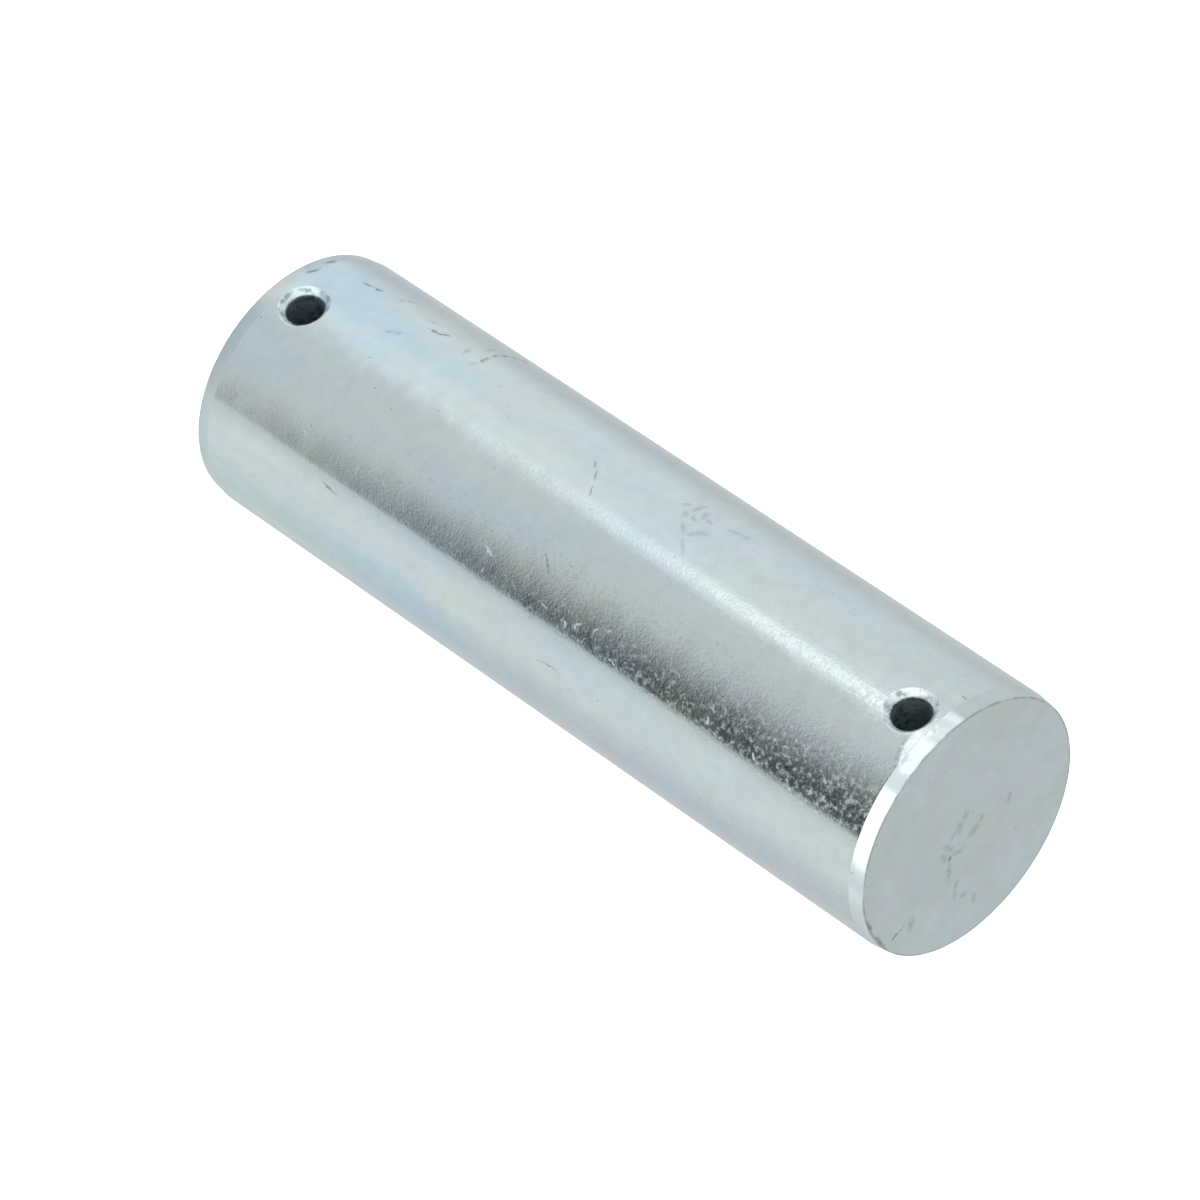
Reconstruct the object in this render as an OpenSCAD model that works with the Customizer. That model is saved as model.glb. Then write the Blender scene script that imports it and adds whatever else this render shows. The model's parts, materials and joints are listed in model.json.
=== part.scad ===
// Yoke pin: a plain turned steel pin, zinc plated. A shallow lead at each end guides it into the yoke's
// ears, and a countersunk hole across it near each end takes a split pin that keeps it there.
// The pin stands on its lower end face, with its axis along +Z and both holes along Y.

/* [Shank] */
// Diameter of the shank
pin_d = 30; // [16:0.5:60]
// Length from one end face to the other
pin_len = 100; // [30:0.5:250]

/* [Leads] */
// Length of the lead at each end, along the axis
lead_len = 1.75; // [0.5:0.05:2.5]
// Drop of each lead from the shank to the end face, in radius
lead_drop = 0.25; // [0.1:0.05:1]

/* [Split-pin holes] */
// Diameter of the holes
hole_d = 4.2; // [2:0.1:6]
// Distance from each end face to the centre line of its hole
hole_inset = 5; // [4.5:0.25:15]
// Width of the countersink around the hole, in radius
sink_w = 0.7; // [0.2:0.05:1.2]
// Angle across the countersink
sink_angle = 90; // [60:5:120]

/* [Hidden] */
$fn = 128;
// Length by which the cutting form runs out past the shank
runout = 2;
pin_r = pin_d / 2;
face_r = pin_r - lead_drop;
hole_r = hole_d / 2;
sink_slope = tan(sink_angle / 2);
// Height above the pin's axis at which the hole opens into its countersink
sink_start = pin_r - sink_w / sink_slope;
sink_stop = pin_r + runout;
sink_stop_r = hole_r + sink_slope * (sink_stop - sink_start);

// The solid of revolution, with a lead at both ends
module turned_blank() {
    rotate_extrude()
        polygon([
            [0, 0],
            [face_r, 0],
            [pin_r, lead_len],
            [pin_r, pin_len - lead_len],
            [face_r, pin_len],
            [0, pin_len]
        ]);
}

// A hole across the pin, with a countersink at both of its mouths
module split_pin_hole() {
    rotate([90, 0, 0])
        rotate_extrude()
            polygon([
                [0, -sink_stop],
                [sink_stop_r, -sink_stop],
                [hole_r, -sink_start],
                [hole_r, sink_start],
                [sink_stop_r, sink_stop],
                [0, sink_stop]
            ]);
}

module yoke_pin() {
    color("#C3CDD2")
        difference() {
            turned_blank();
            for (station = [hole_inset, pin_len - hole_inset])
                translate([0, 0, station]) split_pin_hole();
        }
}

yoke_pin();
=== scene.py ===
"""Dresses a yoke pin: a turned, cross-drilled steel pin with bright zinc plating, stood on a pale floor.

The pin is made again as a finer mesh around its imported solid, with broken edges and softened hole mouths,
and gets the marks that handling left on its plating. Lengths in the classes are in millimetres and angles in
degrees, and the meshes are in metres. Azimuth 0 is towards -Y and 90 towards +X.
"""
from __future__ import annotations

import json
import logging
import math
from dataclasses import dataclass
from enum import Enum
from typing import Any, Sequence, Union

import bpy
from mathutils import Matrix, Vector

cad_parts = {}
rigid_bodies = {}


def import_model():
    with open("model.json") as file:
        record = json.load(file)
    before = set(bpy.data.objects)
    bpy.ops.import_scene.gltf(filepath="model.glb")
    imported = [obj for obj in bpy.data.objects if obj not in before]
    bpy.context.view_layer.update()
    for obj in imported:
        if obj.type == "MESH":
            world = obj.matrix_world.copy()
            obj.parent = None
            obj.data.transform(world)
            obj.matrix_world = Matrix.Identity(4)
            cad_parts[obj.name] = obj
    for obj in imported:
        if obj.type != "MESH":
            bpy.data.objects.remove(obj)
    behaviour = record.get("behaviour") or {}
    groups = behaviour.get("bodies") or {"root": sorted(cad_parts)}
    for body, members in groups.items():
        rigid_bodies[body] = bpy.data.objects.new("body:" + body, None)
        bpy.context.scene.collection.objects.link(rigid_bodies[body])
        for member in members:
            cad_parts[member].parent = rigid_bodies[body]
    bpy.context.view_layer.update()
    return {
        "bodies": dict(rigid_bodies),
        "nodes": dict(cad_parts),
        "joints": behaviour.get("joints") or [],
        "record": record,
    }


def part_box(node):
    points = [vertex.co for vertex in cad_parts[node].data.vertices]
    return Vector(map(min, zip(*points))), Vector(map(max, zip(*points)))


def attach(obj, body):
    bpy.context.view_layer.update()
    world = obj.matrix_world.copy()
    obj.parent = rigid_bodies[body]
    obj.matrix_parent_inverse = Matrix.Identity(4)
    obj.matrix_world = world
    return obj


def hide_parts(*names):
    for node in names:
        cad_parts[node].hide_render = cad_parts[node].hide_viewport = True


LOG = logging.getLogger("yoke_pin")
MM = 0.001
NODE = "yoke_pin"
BODY = "root"

Feed = Union[bpy.types.Node, bpy.types.NodeSocket, float, int, bool, Sequence[float], None]
Pair = tuple[float, float]


def linear(code: str) -> tuple[float, float, float, float]:
    """Turns an sRGB hex colour into the linear one that a shader takes.

    Args:
        code: The colour, as #RRGGBB.

    Returns:
        Linear red, green and blue, and an opacity of 1.
    """
    shares = [int(code[i:i + 2], 16) / 255 for i in (1, 3, 5)]
    red, green, blue = (s / 12.92 if s <= 0.04045 else ((s + 0.055) / 1.055) ** 2.4 for s in shares)
    return red, green, blue, 1.0


def add(tree: bpy.types.NodeTree, kind: str, *feeds: Feed, named: dict[str, Feed] | None = None,
        **settings: Any) -> bpy.types.Node:
    """Adds a node with its settings, and links or sets its inputs.

    Args:
        tree: The tree that the node goes into.
        kind: The node's type name.
        feeds: What goes into the inputs, in their order. None leaves an input as it is.
        named: What goes into the inputs with these names.
        settings: The node's own properties.

    Returns:
        The new node. Where it feeds another node, its first output is meant.
    """
    node = tree.nodes.new(kind)
    for name, value in settings.items():
        setattr(node, name, value)
    pairs: list[tuple[int | str, Feed]] = [*enumerate(feeds), *(named or {}).items()]
    for key, feed in pairs:
        if feed is None:
            continue
        if isinstance(feed, bpy.types.Node):
            feed = feed.outputs[0]
        if isinstance(feed, bpy.types.NodeSocket):
            tree.links.new(feed, node.inputs[key])
        else:
            node.inputs[key].default_value = feed
    return node


class Surface(Enum):
    """The surfaces that carry marks, and what the two numbers of a mark's point are there."""

    SHANK = "arc from the front line, and height"
    UPPER_FACE = "X and Y"


class Harm(Enum):
    """What a mark is: the whole share of its half width, how ragged it is, and how far it wanders."""

    SCRATCH = (0.2, 1.2, 0.6)
    SCUFF = (0.1, 1.2, 0.7)
    SMUDGE = (0.0, 0.9, 0.5)
    SLUMP = (0.3, 0.0, 0.4)


@dataclass(frozen=True)
class Mark:
    """A scratch, a matt scuff, a faint smudge or a slumped edge, drawn as strokes from point to point."""

    surface: Surface
    harm: Harm
    width: float
    points: tuple[Pair, ...]

    def strokes(self, tree: bpy.types.NodeTree, place: bpy.types.Node,
                spread: float) -> list[bpy.types.NodeSocket]:
        """Draws the mark.

        Args:
            tree: The finish's tree.
            place: The node that gives a point's place on the surface, and its depth below it.
            spread: How many times as wide it is drawn.

        Returns:
            For each stroke what gives 1 in its middle and 0 at its edge and beyond.
        """
        drawn = []
        for (x0, y0), (x1, y1) in zip(self.points, self.points[1:]):
            blot = add(tree, "ShaderNodeTexGradient", place, gradient_type="SPHERICAL")
            half = self.width / 2
            reach = math.hypot(x1 - x0, y1 - y0) / 2 + half
            fit = blot.texture_mapping
            fit.vector_type = "TEXTURE"
            fit.translation = ((x0 + x1) / 2, (y0 + y1) / 2, 0)
            fit.rotation = (0, 0, math.atan2(y1 - y0, x1 - x0))
            fit.scale = (spread * reach, spread * half, spread * half)
            drawn.append(blot.outputs["Fac"])
        return drawn


@dataclass(frozen=True)
class Ground:
    """The nodes that say where a point of the pin lies, in millimetres, and on what."""

    place: bpy.types.Node
    height: bpy.types.NodeSocket
    spots: dict[Surface, bpy.types.Node]
    faces: bpy.types.Node
    shank: bpy.types.Node
    rims: bpy.types.Node
    sinks: bpy.types.Node
    bores: bpy.types.Node


@dataclass(frozen=True)
class ZincPlate:
    """Zinc-plated steel with a clear-blue passivation.

    A turned surface that was plated bright and dipped: a pale, slightly blue metal with a fine crystalline
    grain that sparkles beside dark reflections, and faint blue, green and lilac clouds from the thin film.

    Sizes and depths are in millimetres. A shade is the share of the colour that is lost, a rise is the gain
    for each millimetre of height, a stretch is the share of a pattern's fineness that is kept along the pin,
    and the slump is a slope that starts so far from the upper end.
    """

    pin_d: float
    pin_len: float
    lead_len: float
    lead_drop: float
    hole_d: float
    hole_inset: float
    sink_depth: float
    marks: tuple[Mark, ...]
    clouds: tuple[tuple[float, str], ...] = (
        (0.42, "#C2D5DF"), (0.58, "#C9D7DA"), (0.68, "#CBD8D6"), (0.80, "#CEDBDF"))
    cloud_size: float = 9.0
    cloud_rise: float = 0.0025
    cloud_stretch: float = 0.4
    tint_size: float = 3.5
    tint_reach: float = 0.08
    roughness: float = 0.12
    smear: float = 1.8
    face_roughness: float = 0.28
    sink_roughness: float = 0.45
    bore_roughness: float = 0.5
    rubbed_roughness: float = 0.35
    scuff_roughness: float = 0.4
    # Scuffs are coloured paler than the plating: a painted glint. Their matt wear is the scuff roughness.
    scuff_painted_glint: float = -0.15
    # The bores are coloured darker: painted shade inside the holes.
    bore_painted_shade: float = 0.35
    rubbed_shade: float = 0.45
    smudge_shade: float = 0.22
    # How much paler and how much darker the countersinks come out in patches; the paler patches are a painted
    # highlight.
    sink_painted_highlight_and_dark: Pair = (-0.3, 0.35)
    sink_patch: float = 0.8
    sink_patch_range: Pair = (0.45, 0.65)
    rim_shade: float = 0.35
    worn_range: Pair = (0.35, 0.55)
    speck_shade: float = 0.3
    speck_spacing: float = 2.6
    speck_size: float = 0.16
    mottle: float = 0.15
    mottle_size: float = 1.8
    fleck: float = 0.6
    fleck_rise: float = 0.0018
    fleck_range: Pair = (0.485, 0.95)
    fleck_roughness: float = 0.42
    # Real zinc grains are finer than the render shows, so they are drawn as coarse as they need to show.
    grain: float = 0.35
    grain_depth: float = 0.011
    grain_least: float = 0.4
    grain_from: float = 15.0
    grain_short: float = 10.0
    line: float = 0.5
    line_stretch: float = 0.06
    line_depth: float = 0.004
    wave: float = 4.0
    wave_depth: float = 0.018
    drag: float = 0.35
    drag_depth: float = 0.05
    slump: float = 0.1
    slump_start: float = 3.8
    wobble: float = 0.9

    def _ground(self, tree: bpy.types.NodeTree) -> Ground:
        """Finds where a point lies.

        Args:
            tree: The finish's tree.

        Returns:
            The nodes that say so.
        """
        place = add(tree, "ShaderNodeVectorMath", add(tree, "ShaderNodeTexCoord").outputs["Object"],
                    named={"Scale": 1 / MM}, operation="SCALE")
        x, y, z = add(tree, "ShaderNodeSeparateXYZ", place).outputs
        front = add(tree, "ShaderNodeMath", y, -1.0, operation="MULTIPLY")
        bearing = add(tree, "ShaderNodeMath", x, front, operation="ARCTAN2")
        arc = add(tree, "ShaderNodeMath", bearing, self.pin_d / 2, operation="MULTIPLY")
        radius = add(tree, "ShaderNodeVectorMath", add(tree, "ShaderNodeCombineXYZ", x, y),
                     operation="LENGTH").outputs["Value"]
        sunk = add(tree, "ShaderNodeMath", radius, self.pin_d / 2, operation="SUBTRACT")
        below = add(tree, "ShaderNodeMath", z, self.pin_len, operation="SUBTRACT")
        # Each zone fades at its edge, over 0.03 to 0.2 mm.
        middle = add(tree, "ShaderNodeMath", z, self.pin_len / 2, operation="SUBTRACT")
        off = add(tree, "ShaderNodeMath", middle, operation="ABSOLUTE")
        faces = add(tree, "ShaderNodeMapRange", off, self.pin_len / 2 - 0.04, self.pin_len / 2 - 0.01)
        corner = self.pin_d / 2 - self.lead_drop
        edge = add(tree, "ShaderNodeMapRange", radius, corner - 0.3, corner - 0.1)
        tip = add(tree, "ShaderNodeMapRange", off, self.pin_len / 2 - 0.2, self.pin_len / 2 - 0.05)
        from_hole = add(tree, "ShaderNodeMath", off, self.pin_len / 2 - self.hole_inset, operation="SUBTRACT")
        from_axis = add(tree, "ShaderNodeVectorMath", add(tree, "ShaderNodeCombineXYZ", x, from_hole),
                        operation="LENGTH").outputs["Value"]
        bore, mouth = self.hole_d / 2, self.hole_d / 2 + self.sink_depth
        shoulder = self.pin_len / 2 - self.lead_len
        return Ground(
            place=place,
            height=z,
            spots={Surface.SHANK: add(tree, "ShaderNodeCombineXYZ", arc, z, sunk),
                   Surface.UPPER_FACE: add(tree, "ShaderNodeCombineXYZ", x, y, below)},
            faces=faces,
            shank=add(tree, "ShaderNodeMapRange", off, shoulder + 0.1, shoulder - 0.1),
            rims=add(tree, "ShaderNodeMath", edge, tip, operation="MULTIPLY"),
            sinks=add(tree, "ShaderNodeMapRange", from_axis, mouth + 0.15, mouth - 0.05),
            bores=add(tree, "ShaderNodeMapRange", from_axis, bore + 0.12, bore + 0.02),
        )

    def _marked(self, tree: bpy.types.NodeTree, ground: Ground, harm: Harm) -> bpy.types.Node:
        """Draws the marks of one kind, each with a shaky outline.

        Args:
            tree: The finish's tree.
            ground: Where a point lies.
            harm: The kind.

        Returns:
            The node that gives 1 in a mark and 0 beside it.
        """
        core, ragged, wander = harm.value
        shake = add(tree, "ShaderNodeTexNoise", ground.place, named={"Scale": 1 / self.wobble, "Detail": 2.0})
        swing = add(tree, "ShaderNodeVectorMath", shake.outputs["Color"], (0.5, 0.5, 0.5),
                    operation="SUBTRACT")
        rim = 1 + ragged / 2
        drawn: Feed = 0.0
        for surface, spot in ground.spots.items():
            shaken = add(tree, "ShaderNodeVectorMath", swing, (wander, wander, 0), spot,
                         operation="MULTIPLY_ADD")
            for mark in self.marks:
                if (mark.surface, mark.harm) == (surface, harm):
                    for stroke in mark.strokes(tree, shaken, rim):
                        drawn = add(tree, "ShaderNodeMath", stroke, drawn, operation="MAXIMUM")
        breaks = add(tree, "ShaderNodeTexNoise", ground.place,
                     named={"Scale": 2 / self.wobble, "Detail": 1.0})
        gaps = add(tree, "ShaderNodeMath", breaks, -ragged, operation="MULTIPLY")
        torn = add(tree, "ShaderNodeMath", drawn, rim, gaps, operation="MULTIPLY_ADD")
        return add(tree, "ShaderNodeMapRange", torn, 0.0, 1 - core, interpolation_type="SMOOTHSTEP")

    def _colour(self, tree: bpy.types.NodeTree, ground: Ground, rubbed: bpy.types.Node,
                scuffed: bpy.types.Node) -> bpy.types.Node:
        """Colours the plating with film clouds and tints, and shades its marks, specks, worn rims and holes.

        Scuffs come out paler, as a painted glint. The countersinks come out paler in some patches, as a
        painted highlight, and darker in others. The bores come out darker, as painted shade, and the rest
        darker.

        Args:
            tree: The finish's tree.
            ground: Where a point lies.
            rubbed: What gives 1 in a scratch.
            scuffed: What gives 1 in a scuff.

        Returns:
            The node that gives the colour.
        """
        long_way = add(tree, "ShaderNodeVectorMath", ground.place, (1, 1, self.cloud_stretch),
                       operation="MULTIPLY")
        drift = add(tree, "ShaderNodeTexNoise", long_way, named={"Scale": 1 / self.cloud_size, "Detail": 3.0})
        thickness = add(tree, "ShaderNodeMath", ground.height, self.cloud_rise, drift,
                        operation="MULTIPLY_ADD")
        film = add(tree, "ShaderNodeValToRGB", thickness)
        ramp = film.color_ramp.elements
        while len(ramp) < len(self.clouds):
            ramp.new(1.0)
        for stop, (position, code) in zip(ramp, self.clouds):
            stop.position = position
            stop.color = linear(code)
        cells = add(tree, "ShaderNodeTexVoronoi", ground.place, named={"Scale": 1 / self.speck_spacing})
        size = self.speck_size / self.speck_spacing
        specks = add(tree, "ShaderNodeMapRange", cells, size, size / 2)
        patchy = add(tree, "ShaderNodeTexNoise", ground.place, named={
            "Scale": 1 / self.mottle_size, "Detail": 2.0, "Roughness": 0.6})
        worn = add(tree, "ShaderNodeMapRange", patchy, *self.worn_range)
        rims = add(tree, "ShaderNodeMath", ground.rims, worn, operation="MULTIPLY")
        shade: Feed = add(tree, "ShaderNodeMath", patchy, self.mottle, 1 - self.mottle / 2,
                          operation="MULTIPLY_ADD")
        smudged = self._marked(tree, ground, Harm.SMUDGE)
        # The countersinks are coloured paler in some patches, a painted highlight, and darker in others.
        sink_patch = add(tree, "ShaderNodeTexNoise", ground.place,
                      named={"Scale": 1 / self.sink_patch, "Detail": 2.0})
        sink_highlight_and_dark = add(tree, "ShaderNodeMapRange", sink_patch, *self.sink_patch_range, *self.sink_painted_highlight_and_dark)
        sinks = add(tree, "ShaderNodeMath", ground.sinks, sink_highlight_and_dark, operation="MULTIPLY")
        shades = (
            (rubbed, self.rubbed_shade), (scuffed, self.scuff_painted_glint), (smudged, self.smudge_shade),
            (specks, self.speck_shade), (rims, self.rim_shade), (sinks, 1.0),
            (ground.bores, self.bore_painted_shade),
        )
        for cover, loss in shades:
            kept = add(tree, "ShaderNodeMath", cover, -loss, 1.0, operation="MULTIPLY_ADD")
            shade = add(tree, "ShaderNodeMath", kept, shade, operation="MULTIPLY")
        blush = add(tree, "ShaderNodeTexNoise", ground.place,
                    named={"Scale": 1 / self.tint_size, "Detail": 1.0})
        reach, rest = [self.tint_reach] * 3, [1 - self.tint_reach / 2] * 3
        tint = add(tree, "ShaderNodeVectorMath", blush.outputs["Color"], reach, rest,
                   operation="MULTIPLY_ADD")
        tinted = add(tree, "ShaderNodeVectorMath", film, tint, operation="MULTIPLY")
        return add(tree, "ShaderNodeVectorMath", tinted, named={"Scale": shade}, operation="SCALE")

    def _sheen(self, tree: bpy.types.NodeTree, ground: Ground, rubbed: bpy.types.Node,
               scuffed: bpy.types.Node) -> Feed:
        """Gives the plating its gloss, duller on the faces, in the holes, in marks and in small matt flecks.

        The flecks scatter light into dark reflections, where they show as pale grains. They lie closer
        together towards the upper end.

        Args:
            tree: The finish's tree.
            ground: Where a point lies.
            rubbed: What gives 1 in a scratch.
            scuffed: What gives 1 in a scuff.

        Returns:
            The node that gives the roughness.
        """
        smears = add(tree, "ShaderNodeTexNoise", ground.place, named={"Scale": 1 / self.smear, "Detail": 3.0})
        sheen: Feed = add(tree, "ShaderNodeMapRange", smears, 0.3, 0.7, self.roughness * 0.8,
                          self.roughness * 1.25)
        crystals = add(tree, "ShaderNodeTexNoise", ground.place, named={
            "Scale": 1 / self.fleck, "Detail": 2.0, "Roughness": 0.7})
        close = add(tree, "ShaderNodeMath", ground.height, self.fleck_rise, crystals,
                    operation="MULTIPLY_ADD")
        dense = add(tree, "ShaderNodeMapRange", close, *self.fleck_range)
        flecks = add(tree, "ShaderNodeMath", dense, ground.shank, operation="MULTIPLY")
        for cover, dull in ((flecks, self.fleck_roughness), (ground.faces, self.face_roughness),
                            (rubbed, self.rubbed_roughness), (scuffed, self.scuff_roughness),
                            (ground.sinks, self.sink_roughness), (ground.bores, self.bore_roughness)):
            duller = add(tree, "ShaderNodeMath", cover, dull, operation="MULTIPLY")
            sheen = add(tree, "ShaderNodeMath", duller, sheen, operation="MAXIMUM")
        return sheen

    def _relief(self, tree: bpy.types.NodeTree, ground: Ground) -> bpy.types.Node:
        """Gives the plating its grain, waves, lines and slumped edges, and the countersinks their drag marks.

        The grain gets deeper towards the upper end.

        Args:
            tree: The finish's tree.
            ground: Where a point lies.

        Returns:
            The node that gives the normal.
        """
        grain = add(tree, "ShaderNodeTexNoise", ground.place, named={
            "Scale": 1 / self.grain, "Detail": 2.0, "Roughness": 0.75})
        upper = add(tree, "ShaderNodeMapRange", ground.height, self.grain_from,
                    self.pin_len - self.grain_short, self.grain_least * self.grain_depth, self.grain_depth)
        coarse = add(tree, "ShaderNodeMath", upper, ground.shank, operation="MULTIPLY")
        wave = add(tree, "ShaderNodeTexNoise", ground.place, named={"Scale": 1 / self.wave, "Detail": 1.0})
        along = add(tree, "ShaderNodeVectorMath", ground.place, (1, 1, self.line_stretch),
                    operation="MULTIPLY")
        lines = add(tree, "ShaderNodeTexNoise", along, named={"Scale": 1 / self.line, "Detail": 1.0})
        dragged = add(tree, "ShaderNodeTexNoise", ground.place, named={"Scale": 1 / self.drag, "Detail": 2.0})
        drags = add(tree, "ShaderNodeMath", dragged, 0.5, operation="SUBTRACT")
        cut = add(tree, "ShaderNodeMath", ground.sinks, self.drag_depth, operation="MULTIPLY")
        fall = add(tree, "ShaderNodeMapRange", ground.height, self.pin_len - self.slump_start,
                   self.pin_len - self.lead_len, 0.0, -self.slump * (self.slump_start - self.lead_len))
        height: Feed = 0.0
        for form, size in ((grain, coarse), (wave, self.wave_depth), (lines, self.line_depth), (drags, cut),
                           (self._marked(tree, ground, Harm.SLUMP), fall)):
            height = add(tree, "ShaderNodeMath", form, size, height, operation="MULTIPLY_ADD")
        return add(tree, "ShaderNodeBump", named={"Strength": 1.0, "Distance": MM, "Height": height})

    def material(self) -> bpy.types.Material:
        """Builds the plating.

        Returns:
            The material, which reads Object coordinates only.
        """
        material = bpy.data.materials.new("zinc_plated_steel_clear_blue")
        material.use_nodes = True
        tree = material.node_tree
        tree.nodes.clear()
        ground = self._ground(tree)
        rubbed = self._marked(tree, ground, Harm.SCRATCH)
        scuffed = self._marked(tree, ground, Harm.SCUFF)
        shader = add(tree, "ShaderNodeBsdfPrincipled", named={
            "Base Color": self._colour(tree, ground, rubbed, scuffed), "Metallic": 1.0,
            "Roughness": self._sheen(tree, ground, rubbed, scuffed), "Normal": self._relief(tree, ground)})
        add(tree, "ShaderNodeOutputMaterial", shader)
        return material


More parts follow.
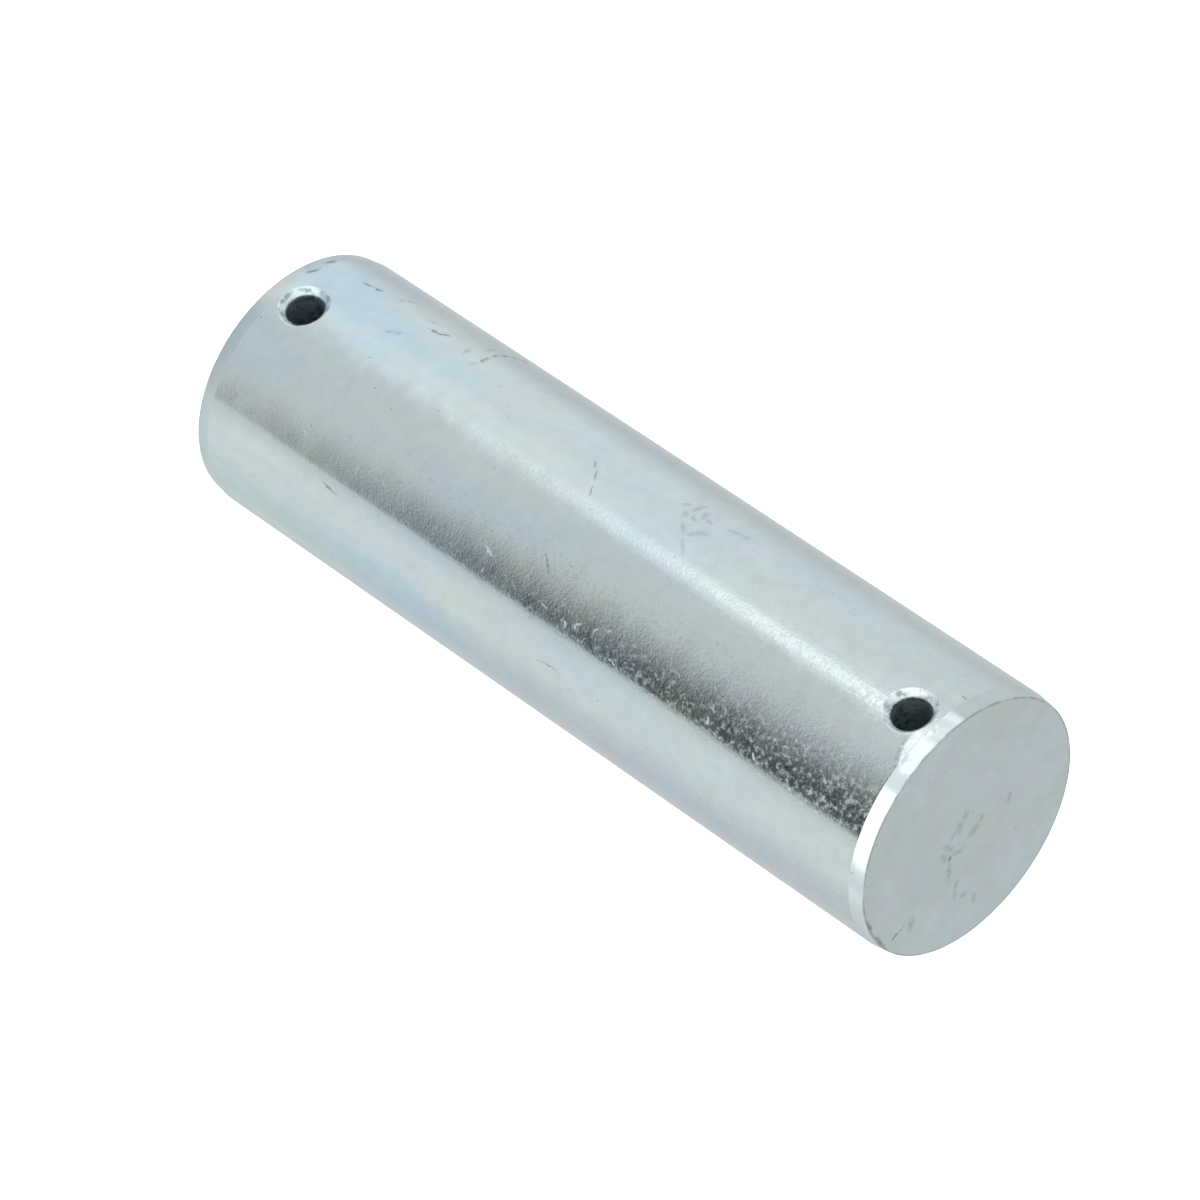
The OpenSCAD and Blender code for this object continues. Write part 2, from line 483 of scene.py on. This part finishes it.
@dataclass
class YokePin:
    """The pin itself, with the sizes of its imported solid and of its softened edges."""

    pin_d: float
    pin_len: float
    lead_len: float
    hole_d: float
    hole_inset: float
    sink_depth: float
    lead_drop: float = 0.25
    edge_break: float = 0.08
    mouth_break: float = 0.04
    mouth_flare: float = 3.5
    mouth_rounding: float = 0.5
    sink_angle: float = 90.0
    crease_angle: float = 12.0
    runout: float = 1.0
    merge_gap: float = 0.001
    turns: int = 512
    hole_turns: int = 128
    corner_steps: int = 8
    marks: tuple[Mark, ...] = (
        Mark(Surface.SHANK, Harm.SCRATCH, 0.59, ((-7.3, 6.6), (-7.5, 7.6), (-7.9, 9.0))),
        Mark(Surface.SHANK, Harm.SMUDGE, 0.78, ((-8.0, 11.1), (-8.9, 11.3), (-9.6, 12.3))),
        Mark(Surface.SHANK, Harm.SMUDGE, 0.78, ((-8.0, 15.9), (-8.4, 16.8))),
        Mark(Surface.SHANK, Harm.SMUDGE, 0.78, ((-3.0, 14.8), (-3.3, 15.3))),
        Mark(Surface.SHANK, Harm.SMUDGE, 1.0, ((-3.6, 15.7), (-3.8, 16.2))),
        Mark(Surface.SHANK, Harm.SCRATCH, 0.78, ((-6.9, 17.3), (-7.0, 18.6), (-7.6, 19.3))),
        Mark(Surface.SHANK, Harm.SCRATCH, 0.59, ((-6.9, 25.2), (-8.5, 24.8), (-10.2, 24.8))),
        Mark(Surface.SHANK, Harm.SCRATCH, 0.59, ((-10.2, 24.8), (-11.5, 25.1), (-12.5, 25.7), (-13.4, 26.1))),
        Mark(Surface.SHANK, Harm.SMUDGE, 0.78, ((-9.1, 23.5), (-11.3, 23.3))),
        Mark(Surface.SHANK, Harm.SMUDGE, 0.91, ((-6.4, 23.0), (-8.0, 22.3))),
        Mark(Surface.SHANK, Harm.SMUDGE, 0.91, ((-5.7, 24.9), (-6.5, 25.1))),
        Mark(Surface.SHANK, Harm.SCRATCH, 0.3, ((-4.2, 45.2), (-3.1, 46.8), (-1.4, 48.1), (0.1, 49.1))),
        Mark(Surface.SHANK, Harm.SMUDGE, 1.0, ((-5.7, 57.0), (-6.3, 57.4))),
        Mark(Surface.SHANK, Harm.SMUDGE, 1.2, ((-5.1, 58.0), (-4.4, 58.4))),
        Mark(Surface.SHANK, Harm.SMUDGE, 1.0, ((-3.5, 59.1), (-2.6, 60.1))),
        Mark(Surface.SHANK, Harm.SMUDGE, 1.2, ((-5.8, 58.4), (-6.8, 58.3), (-7.4, 58.4))),
        Mark(Surface.SHANK, Harm.SMUDGE, 0.91, ((-5.2, 58.9), (-4.3, 59.9))),
        Mark(Surface.SHANK, Harm.SMUDGE, 1.2, ((-5.6, 59.9), (-6.1, 59.6), (-6.6, 59.6))),
        Mark(Surface.SHANK, Harm.SMUDGE, 0.91, ((-5.8, 60.5), (-5.5, 61.0))),
        Mark(Surface.SHANK, Harm.SMUDGE, 1.0, ((-2.8, 60.9), (-3.1, 61.2), (-3.8, 61.7), (-3.9, 62.2))),
        Mark(Surface.SHANK, Harm.SMUDGE, 0.91, ((-6.3, 63.0), (-6.5, 63.6), (-6.8, 64.5), (-6.8, 65.2))),
        Mark(Surface.SHANK, Harm.SMUDGE, 0.65, ((-2.0, 60.6), (0.1, 62.8))),
        Mark(Surface.SHANK, Harm.SCRATCH, 0.35, ((7.5, 49.4), (9.4, 51.4))),
        Mark(Surface.SHANK, Harm.SCRATCH, 0.39, ((14.9, 19.3), (15.3, 22.0))),
        Mark(Surface.SHANK, Harm.SCRATCH, 0.3, ((18.3, 52.9), (17.8, 56.4))),
        Mark(Surface.SHANK, Harm.SCRATCH, 0.5, ((-4.9, 97.4), (-4.6, 98.2))),
        Mark(Surface.SHANK, Harm.SCRATCH, 0.78, ((-6.5, 1.2), (-7.9, 1.3))),
        Mark(Surface.SHANK, Harm.SCRATCH, 0.78, ((-3.8, 1.5), (-5.0, 1.8))),
        Mark(Surface.SHANK, Harm.SCUFF, 0.5, ((11.3, 14.8), (11.4, 15.3))),
        Mark(Surface.SHANK, Harm.SCUFF, 0.4, ((11.9, 23.4), (10.8, 23.2))),
        Mark(Surface.SHANK, Harm.SCUFF, 0.4, ((11.4, 24.9), (10.9, 24.8))),
        Mark(Surface.SHANK, Harm.SCUFF, 0.4, ((11.2, 27.2), (10.9, 26.9))),
        Mark(Surface.SHANK, Harm.SCUFF, 0.7, ((10.3, 41.5), (11.0, 44.5))),
        Mark(Surface.SHANK, Harm.SCUFF, 0.5, ((12.5, 43.4), (13.4, 43.3))),
        Mark(Surface.SHANK, Harm.SCUFF, 0.4, ((12.1, 51.4), (12.4, 53.2))),
        Mark(Surface.SHANK, Harm.SCUFF, 0.5, ((12.3, 55.5), (12.9, 55.7))),
        Mark(Surface.SHANK, Harm.SCUFF, 0.6, ((12.5, 57.0), (12.0, 56.5), (11.5, 57.6))),
        Mark(Surface.SHANK, Harm.SCUFF, 0.6, ((11.9, 59.1), (10.9, 59.6))),
        Mark(Surface.SHANK, Harm.SCUFF, 0.5, ((10.9, 60.9), (10.3, 61.1))),
        Mark(Surface.SHANK, Harm.SCUFF, 0.4, ((13.0, 61.3), (13.3, 63.9))),
        Mark(Surface.SHANK, Harm.SCUFF, 0.6, ((12.1, 76.2), (13.1, 76.5))),
        Mark(Surface.SHANK, Harm.SCUFF, 0.5, ((12.4, 82.6), (13.5, 83.5))),
        Mark(Surface.SHANK, Harm.SLUMP, 6.0, ((0.9, 99.6), (3.7, 99.6))),
        Mark(Surface.UPPER_FACE, Harm.SMUDGE, 1.4, ((-0.2, -2.2), (0.0, -1.4))),
        Mark(Surface.UPPER_FACE, Harm.SMUDGE, 1.4, ((0.6, -1.4), (1.2, -0.4))),
        Mark(Surface.UPPER_FACE, Harm.SMUDGE, 1.0, ((1.9, -0.8), (2.5, -0.3))),
        Mark(Surface.UPPER_FACE, Harm.SMUDGE, 1.2, ((-2.0, 0.1), (-1.8, 0.6))),
        Mark(Surface.UPPER_FACE, Harm.SMUDGE, 1.7, ((-1.3, 0.9), (-0.2, 1.4))),
        Mark(Surface.UPPER_FACE, Harm.SMUDGE, 1.2, ((3.3, -0.4), (2.8, 0.7), (2.5, 1.0))),
        Mark(Surface.UPPER_FACE, Harm.SMUDGE, 1.2, ((3.8, 0.7), (3.7, 1.9))),
        Mark(Surface.UPPER_FACE, Harm.SCRATCH, 0.5, ((2.9, 1.6), (3.1, 2.5))),
        Mark(Surface.UPPER_FACE, Harm.SMUDGE, 1.4, ((2.8, 1.7), (1.1, 2.4))),
        Mark(Surface.UPPER_FACE, Harm.SMUDGE, 1.0, ((3.2, 2.6), (3.8, 5.1))),
        Mark(Surface.UPPER_FACE, Harm.SMUDGE, 1.2, ((2.8, 5.8), (3.2, 7.0), (3.7, 8.1))),
        Mark(Surface.UPPER_FACE, Harm.SMUDGE, 1.0, ((2.8, 8.6), (2.1, 8.6))),
        Mark(Surface.UPPER_FACE, Harm.SMUDGE, 1.0, ((1.0, 9.7), (1.3, 10.7))),
        Mark(Surface.UPPER_FACE, Harm.SMUDGE, 1.0, ((-6.1, 0.3), (-5.6, 1.5))),
        Mark(Surface.UPPER_FACE, Harm.SMUDGE, 1.4, ((9.2, 5.5), (9.8, 6.8))),
        Mark(Surface.UPPER_FACE, Harm.SCRATCH, 0.5, ((10.3, 5.4), (11.2, 5.7), (12.2, 5.8))),
        Mark(Surface.UPPER_FACE, Harm.SCRATCH, 0.5, ((14.6, 0.0), (14.2, 2.8), (13.1, 6.2))),
    )

    @classmethod
    def from_frame(cls, frame: dict[str, Any]) -> YokePin:
        """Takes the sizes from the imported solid's box and mounts.


        Returns:
            The pin with those sizes.
        """
        low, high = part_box(NODE)
        mounts = {mount["name"]: mount for mount in frame["record"]["mounts"]}
        shank, hole = mounts["shank"], mounts["lower_split_pin_hole"]
        pin_d = 2 * shank["dims"]["r_mm"]
        pin_len = round((high.z - low.z) / MM, 3)
        return cls(
            pin_d=pin_d,
            pin_len=pin_len,
            lead_len=(pin_len - shank["dims"]["length_mm"]) / 2,
            hole_d=2 * hole["dims"]["r_mm"],
            hole_inset=hole["pos_m"][2] / MM,
            sink_depth=(pin_d - hole["dims"]["length_mm"]) / 2,
        )

    def _outline(self, tree: bpy.types.NodeTree, points: Sequence[tuple[Feed, Feed]],
                 rounding: Feed) -> bpy.types.Node:
        """Draws a profile through points, from the top down, and rounds its corners.

        Args:
            tree: The tree that it goes into.
            points: Each point's distance from the skin and its height.
            rounding: The radius at the corners.

        Returns:
            The node that holds the curve, with its heights turned over as the sweep needs them.
        """
        switch = add(tree, "GeometryNodeIndexSwitch", add(tree, "GeometryNodeInputIndex"), data_type="VECTOR")
        while len(switch.index_switch_items) < len(points):
            switch.index_switch_items.new()
        for number, (across, along) in enumerate(points):
            spot = add(tree, "ShaderNodeCombineXYZ", across, along)
            turned_over = add(tree, "ShaderNodeVectorMath", spot, (1, -1, 1), operation="MULTIPLY")
            tree.links.new(turned_over.outputs[0], switch.inputs[number + 1])
        line = add(tree, "GeometryNodeMeshLine", len(points))
        drawn = add(tree, "GeometryNodeSetPosition", line, named={"Position": switch})
        curve = add(tree, "GeometryNodeMeshToCurve", drawn)
        return add(tree, "GeometryNodeFilletCurve", curve,
                   named={"Radius": rounding, "Limit Radius": True, "Count": self.corner_steps}, mode="POLY")

    def _turned(self, tree: bpy.types.NodeTree, outline: bpy.types.Node, radius: Feed,
                turns: Feed) -> bpy.types.Node:
        """Turns a profile about Z.

        Args:
            tree: The tree that it goes into.
            outline: The profile, with its distances counted from the skin.
            radius: The skin's radius.
            turns: How many steps go round.

        Returns:
            The node that holds the closed mesh.
        """
        circle = add(tree, "GeometryNodeCurvePrimitiveCircle", named={"Resolution": turns, "Radius": radius})
        swept = add(tree, "GeometryNodeCurveToMesh", circle, outline)
        return add(tree, "GeometryNodeMergeByDistance", swept, named={"Distance": self.merge_gap * MM})

    def _blank(self, tree: bpy.types.NodeTree, size: bpy.types.NodeOutputs) -> bpy.types.Node:
        """Turns the pin before it is drilled, with a ring beside each corner that keeps the flats flat.

        Args:
            tree: The tree that it goes into.
            size: The tree's inputs.

        Returns:
            The node that holds the blank.
        """
        drop = add(tree, "ShaderNodeMath", 0.0, size["Lead Drop"], operation="SUBTRACT")
        axis = add(tree, "ShaderNodeMath", 0.0, size["Radius"], operation="SUBTRACT")
        upper = add(tree, "ShaderNodeMath", size["Length"], size["Lead Length"], operation="SUBTRACT")
        beside = add(tree, "ShaderNodeMath", size["Edge Break"], 2.0, operation="MULTIPLY")
        inside = add(tree, "ShaderNodeMath", drop, beside, operation="SUBTRACT")
        under = add(tree, "ShaderNodeMath", upper, beside, operation="SUBTRACT")
        over = add(tree, "ShaderNodeMath", size["Lead Length"], beside, operation="ADD")
        outline = self._outline(tree, [
            (axis, size["Length"]), (inside, size["Length"]), (drop, size["Length"]),
            (0.0, upper), (0.0, under), (0.0, over), (0.0, size["Lead Length"]),
            (drop, 0.0), (inside, 0.0), (axis, 0.0),
        ], size["Edge Break"])
        return self._turned(tree, outline, size["Radius"], size["Turns"])

    def _drills(self, tree: bpy.types.NodeTree, size: bpy.types.NodeOutputs) -> bpy.types.Node:
        """Makes the two cutting forms, each a hole with a countersink at both mouths.

        The forms are bent to the shank, so that a mouth is as wide across the pin as it is along it.

        Args:
            tree: The tree that they go into.
            size: The tree's inputs.

        Returns:
            The node that holds both forms in place.
        """
        start = add(tree, "ShaderNodeMath", size["Radius"], size["Sink Depth"], operation="SUBTRACT")
        lip = add(tree, "ShaderNodeMath", size["Radius"], size["Mouth Break"], operation="SUBTRACT")
        stop = add(tree, "ShaderNodeMath", size["Radius"], size["Runout"], operation="ADD")
        wide = add(tree, "ShaderNodeMath", size["Sink Width"], size["Mouth Break"], operation="SUBTRACT")
        rise = add(tree, "ShaderNodeMath", size["Mouth Break"], size["Runout"], operation="ADD")
        flare = add(tree, "ShaderNodeMath", rise, self.mouth_flare, wide, operation="MULTIPLY_ADD")
        axis = add(tree, "ShaderNodeMath", 0.0, size["Hole Radius"], operation="SUBTRACT")
        upper = [(axis, stop), (flare, stop), (wide, lip), (0.0, start)]
        lower = [(across, add(tree, "ShaderNodeMath", 0.0, along, operation="SUBTRACT"))
                 for across, along in upper]
        outline = self._outline(tree, [*upper, *reversed(lower)], size["Mouth Rounding"])
        drill = self._turned(tree, outline, size["Hole Radius"], size["Hole Turns"])
        twice = add(tree, "ShaderNodeMath", size["Hole Inset"], 2.0, operation="MULTIPLY")
        apart = add(tree, "ShaderNodeMath", size["Length"], twice, operation="SUBTRACT")
        stations = add(tree, "GeometryNodeMeshLine", named={
            "Count": 2, "Start Location": add(tree, "ShaderNodeCombineXYZ", 0.0, 0.0, size["Hole Inset"]),
            "Offset": add(tree, "ShaderNodeCombineXYZ", 0.0, 0.0, apart)})
        placed = add(tree, "GeometryNodeInstanceOnPoints", stations,
                     named={"Instance": drill, "Rotation": (math.pi / 2, 0, 0)})
        cutters = add(tree, "GeometryNodeRealizeInstances", placed)
        x, y, _ = add(tree, "ShaderNodeSeparateXYZ", add(tree, "GeometryNodeInputPosition")).outputs
        across = add(tree, "ShaderNodeMath", x, x, operation="MULTIPLY")
        whole = add(tree, "ShaderNodeMath", size["Radius"], size["Radius"], operation="MULTIPLY")
        left = add(tree, "ShaderNodeMath", whole, across, operation="SUBTRACT")
        skin = add(tree, "ShaderNodeMath", left, operation="SQRT")
        sag = add(tree, "ShaderNodeMath", skin, size["Radius"], operation="SUBTRACT")
        side = add(tree, "ShaderNodeMath", y, operation="SIGN")
        shift = add(tree, "ShaderNodeMath", sag, side, operation="MULTIPLY")
        return add(tree, "GeometryNodeSetPosition", cutters,
                   named={"Offset": add(tree, "ShaderNodeCombineXYZ", 0.0, shift, 0.0)})

    def _tree(self) -> bpy.types.NodeTree:
        """Builds the tree that turns the blank and drills it.

        Returns:
            The tree, with an input for each size.
        """
        tree = bpy.data.node_groups.new("turned_and_drilled_pin", "GeometryNodeTree")
        tree.interface.new_socket("Geometry", in_out="OUTPUT", socket_type="NodeSocketGeometry")
        for name in ("Radius", "Length", "Lead Length", "Lead Drop", "Edge Break", "Mouth Break",
                     "Mouth Rounding", "Hole Radius", "Hole Inset", "Sink Depth", "Sink Width", "Runout"):
            tree.interface.new_socket(name, in_out="INPUT", socket_type="NodeSocketFloat")
        for name in ("Turns", "Hole Turns"):
            tree.interface.new_socket(name, in_out="INPUT", socket_type="NodeSocketInt")
        tree.interface.new_socket("Material", in_out="INPUT", socket_type="NodeSocketMaterial")
        size = add(tree, "NodeGroupInput").outputs
        drilled = add(tree, "GeometryNodeMeshBoolean", self._blank(tree, size), self._drills(tree, size),
                      operation="DIFFERENCE", solver="EXACT")
        smooth = add(tree, "GeometryNodeSetShadeSmooth", drilled, named={"Shade Smooth": True}, domain="FACE")
        bend = add(tree, "GeometryNodeInputMeshEdgeAngle")
        crease = add(tree, "FunctionNodeCompare", bend, math.radians(self.crease_angle),
                     operation="GREATER_THAN")
        creased = add(tree, "GeometryNodeSetShadeSmooth", smooth, crease, False, domain="EDGE")
        whole = add(tree, "GeometryNodeRealizeInstances", creased)
        plated = add(tree, "GeometryNodeSetMaterial", whole, named={"Material": size["Material"]})
        add(tree, "NodeGroupOutput", plated)
        return tree

    def dress(self) -> bpy.types.Material:
        """Makes the plating for the pin's own sizes and marks."""
        return ZincPlate(self.pin_d, self.pin_len, self.lead_len, self.lead_drop, self.hole_d,
                         self.hole_inset, self.sink_depth, self.marks).material()

    def build(self) -> bpy.types.Object:
        """Makes the pin's mesh and dresses it.

        Returns:
            The object, at the origin, with a plain mesh.
        """
        tree = self._tree()
        material = self.dress()
        sizes = {
            "Radius": self.pin_d / 2, "Length": self.pin_len, "Lead Length": self.lead_len,
            "Lead Drop": self.lead_drop, "Edge Break": self.edge_break, "Mouth Break": self.mouth_break,
            "Mouth Rounding": self.mouth_rounding, "Hole Radius": self.hole_d / 2,
            "Hole Inset": self.hole_inset, "Sink Depth": self.sink_depth,
            "Sink Width": self.sink_depth * math.tan(math.radians(self.sink_angle / 2)),
            "Runout": self.runout,
        }
        values: dict[str, Any] = {name: value * MM for name, value in sizes.items()}
        values |= {"Turns": self.turns, "Hole Turns": self.hole_turns, "Material": material}
        pin = bpy.data.objects.new("plated_pin", bpy.data.meshes.new("plated_pin"))
        bpy.context.scene.collection.objects.link(pin)
        modifier = pin.modifiers.new("turned_and_drilled", "NODES")
        modifier.node_group = tree
        for socket in tree.interface.items_tree:
            if socket.in_out == "INPUT":
                modifier[socket.identifier] = values[socket.name]
        bpy.context.view_layer.update()
        mesh = bpy.data.meshes.new_from_object(pin.evaluated_get(bpy.context.evaluated_depsgraph_get()))
        pin.modifiers.remove(modifier)
        mesh.materials.clear()
        mesh.materials.append(material)
        pin.data = mesh
        mesh.name = "plated_pin"
        return pin


@dataclass(frozen=True)
class Panel:
    """A soft light or, with a negative strength, a dark flag of the surround.

    Each side is a pair of degrees, where the panel has gone and where it is whole. A side that isn't given
    is open. The lean moves the left side by so many degrees for each degree of elevation off its level.
    """

    strength: float
    left: Pair | None = None
    right: Pair | None = None
    low: Pair | None = None
    high: Pair | None = None
    lean: float = 0.0
    lean_level: float = -34.5
    colour: str = "#FFFFFF"

    def draw(self, tree: bpy.types.NodeTree, azimuth: bpy.types.Node, elevation: bpy.types.Node,
             light: Feed) -> bpy.types.Node:
        """Adds the panel to the light.

        Args:
            tree: The world's tree.
            azimuth: The node that gives a direction's azimuth in degrees.
            elevation: The node that gives its elevation in degrees.
            light: The light of the panels before it.

        Returns:
            The node that gives the light with the panel.
        """
        leaning = azimuth
        if self.lean:
            lift = add(tree, "ShaderNodeMath", elevation, self.lean, -self.lean * self.lean_level,
                       operation="MULTIPLY_ADD")
            leaning = add(tree, "ShaderNodeMath", azimuth, lift, operation="ADD")
        cover: Feed = (1.0, 1.0, 1.0)
        for value, side in ((leaning, self.left), (azimuth, self.right), (elevation, self.low),
                            (elevation, self.high)):
            if side:
                edge = add(tree, "ShaderNodeMapRange", value, *side, interpolation_type="SMOOTHSTEP")
                cover = add(tree, "ShaderNodeVectorMath", edge, cover, operation="MULTIPLY")
        glow = [share * self.strength for share in linear(self.colour)[:3]]
        return add(tree, "ShaderNodeVectorMath", cover, glow, light, operation="MULTIPLY_ADD")


@dataclass
class Studio:
    """The pale floor, the soft surround and the camera."""

    azimuth: float = 25.41
    elevation: float = 34.0
    distance: float = 724.3
    roll: float = 124.12
    aim: tuple[float, float, float] = (2.0, 0.0, 48.7)
    lens: float = 209.85
    sensor: float = 36.0
    floor_radius: float = 4000.0
    floor_corners: int = 96
    floor_colour: str = "#F4F5F5"
    floor_roughness: float = 0.9
    floor_glow: float = 0.8
    panels: tuple[Panel, ...] = (
        Panel(0.68),
        Panel(0.12, left=(-118, -88), right=(165, 125), low=(-58, -42), high=(30, 15)),
        Panel(0.18, left=(-112, -72), right=(5, -45), low=(-52, -42), high=(-26, -35), colour="#E8F4FF"),
        Panel(0.27, left=(-80, -62), right=(5, -30), low=(-64, -56), high=(-43, -49), colour="#FFD8B0"),
        Panel(0.12, left=(80, 96), right=(140, 118)),
        Panel(0.1, left=(118, 140), low=(-60, -40), high=(-33, -37), colour="#A8FFFF"),
        Panel(0.06, left=(118, 140), low=(-37, -32), high=(-20, -24), colour="#4060FF"),
        Panel(-0.75, left=(33, 75), right=(81, 78.5), low=(-39.5, -33), high=(-21, -25), lean=5.0),
        Panel(0.3, left=(-43, -38), right=(120, 92), low=(-20, -17), high=(-3, -6)),
        Panel(0.14, left=(112, 128), low=(-27, -22), high=(-3, -6)),
        Panel(1.0, left=(33, 39), right=(105, 86), low=(-20, -17), high=(-3, -6)),
        Panel(0.45, left=(-35, -10), right=(95, 75), low=(2, 14), high=(75, 55)),
        Panel(0.45, left=(-14, -8), right=(13, 7), low=(-23, -18), high=(-3, -6)),
        Panel(0.2, left=(-43, -38), right=(-24, -30), low=(-23, -18), high=(-3, -6)),
        Panel(0.82, left=(-28, -19), right=(-6, -15), low=(-36.2, -30.5), high=(-20, -24)),
        Panel(0.1, left=(-48, -34), right=(-14, -30), low=(-60, -45), high=(-30, -36)),
        Panel(0.3, low=(-4, -1), high=(14, 5)),
        Panel(0.35, low=(50, 75)),
    )

    def floor(self) -> None:
        """Lays a pale disc under the pin, which the pin doesn't mirror and which casts no shade upwards."""
        mesh = bpy.data.meshes.new("floor")
        corners = range(self.floor_corners)
        steps = [2 * math.pi * corner / self.floor_corners for corner in corners]
        radius = self.floor_radius * MM
        rim = [(radius * math.cos(step), radius * math.sin(step), 0.0) for step in steps]
        mesh.from_pydata(rim, [], [corners])
        floor = bpy.data.objects.new("floor", mesh)
        bpy.context.scene.collection.objects.link(floor)
        # White studio paper: matt and brightly lit, so that it gives the eye a plain pale ground.
        material = bpy.data.materials.new("white_studio_paper")
        material.use_nodes = True
        tree = material.node_tree
        tree.nodes.clear()
        paper = linear(self.floor_colour)
        shader = add(tree, "ShaderNodeBsdfPrincipled", named={
            "Base Color": paper, "Roughness": self.floor_roughness, "Emission Color": paper,
            "Emission Strength": self.floor_glow})
        add(tree, "ShaderNodeOutputMaterial", shader)
        mesh.materials.append(material)
        floor.visible_glossy = False
        floor.visible_shadow = False

    def light(self) -> None:
        """Surrounds the pin with pale soft light, brighter panels and one dark flag."""
        world = bpy.data.worlds.new("studio_surround")
        world.use_nodes = True
        world.cycles.sampling_method = "NONE"
        bpy.context.scene.world = world
        tree = world.node_tree
        tree.nodes.clear()
        direction = add(tree, "ShaderNodeTexCoord").outputs["Generated"]
        x, y, z = add(tree, "ShaderNodeSeparateXYZ", direction).outputs
        front = add(tree, "ShaderNodeMath", y, -1.0, operation="MULTIPLY")
        bearing = add(tree, "ShaderNodeMath", x, front, operation="ARCTAN2")
        azimuth = add(tree, "ShaderNodeMath", bearing, operation="DEGREES")
        height = add(tree, "ShaderNodeMath", z, operation="ARCSINE")
        elevation = add(tree, "ShaderNodeMath", height, operation="DEGREES")
        light: Feed = (0.0, 0.0, 0.0)
        for panel in self.panels:
            light = panel.draw(tree, azimuth, elevation, light)
        add(tree, "ShaderNodeOutputWorld", add(tree, "ShaderNodeBackground", light, 1.0))
        bpy.context.scene.view_settings.view_transform = "Standard"

    def camera(self) -> None:
        """Stands the camera where the photograph was taken from, turned as its picture is."""
        data = bpy.data.cameras.new("camera")
        data.sensor_width = self.sensor
        data.lens = self.lens
        data.clip_start = 0.01
        data.clip_end = 100.0
        camera = bpy.data.objects.new("camera", data)
        bpy.context.scene.collection.objects.link(camera)
        azimuth, elevation = math.radians(self.azimuth), math.radians(self.elevation)
        back = Vector((math.sin(azimuth) * math.cos(elevation), -math.cos(azimuth) * math.cos(elevation),
                       math.sin(elevation)))
        turn = back.to_track_quat("Z", "Y") @ Matrix.Rotation(math.radians(self.roll), 4, "Z").to_quaternion()
        camera.matrix_world = Matrix.LocRotScale((Vector(self.aim) + back * self.distance) * MM, turn, None)
        bpy.context.scene.camera = camera


def main() -> None:
    """Builds the pin and its studio."""
    logging.basicConfig(level=logging.INFO, format="%(name)s: %(message)s")
    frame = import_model()
    pin = YokePin.from_frame(frame)
    piece = pin.build()
    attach(piece, BODY)
    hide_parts(NODE)
    LOG.info("%s is %.1f by %.1f mm and has %d faces", piece.name, pin.pin_d, pin.pin_len,
             len(piece.data.polygons))
    studio = Studio()
    studio.floor()
    LOG.info("floor is %.0f mm across", 2 * studio.floor_radius)
    studio.light()
    studio.camera()


if __name__ == "__main__":
    main()
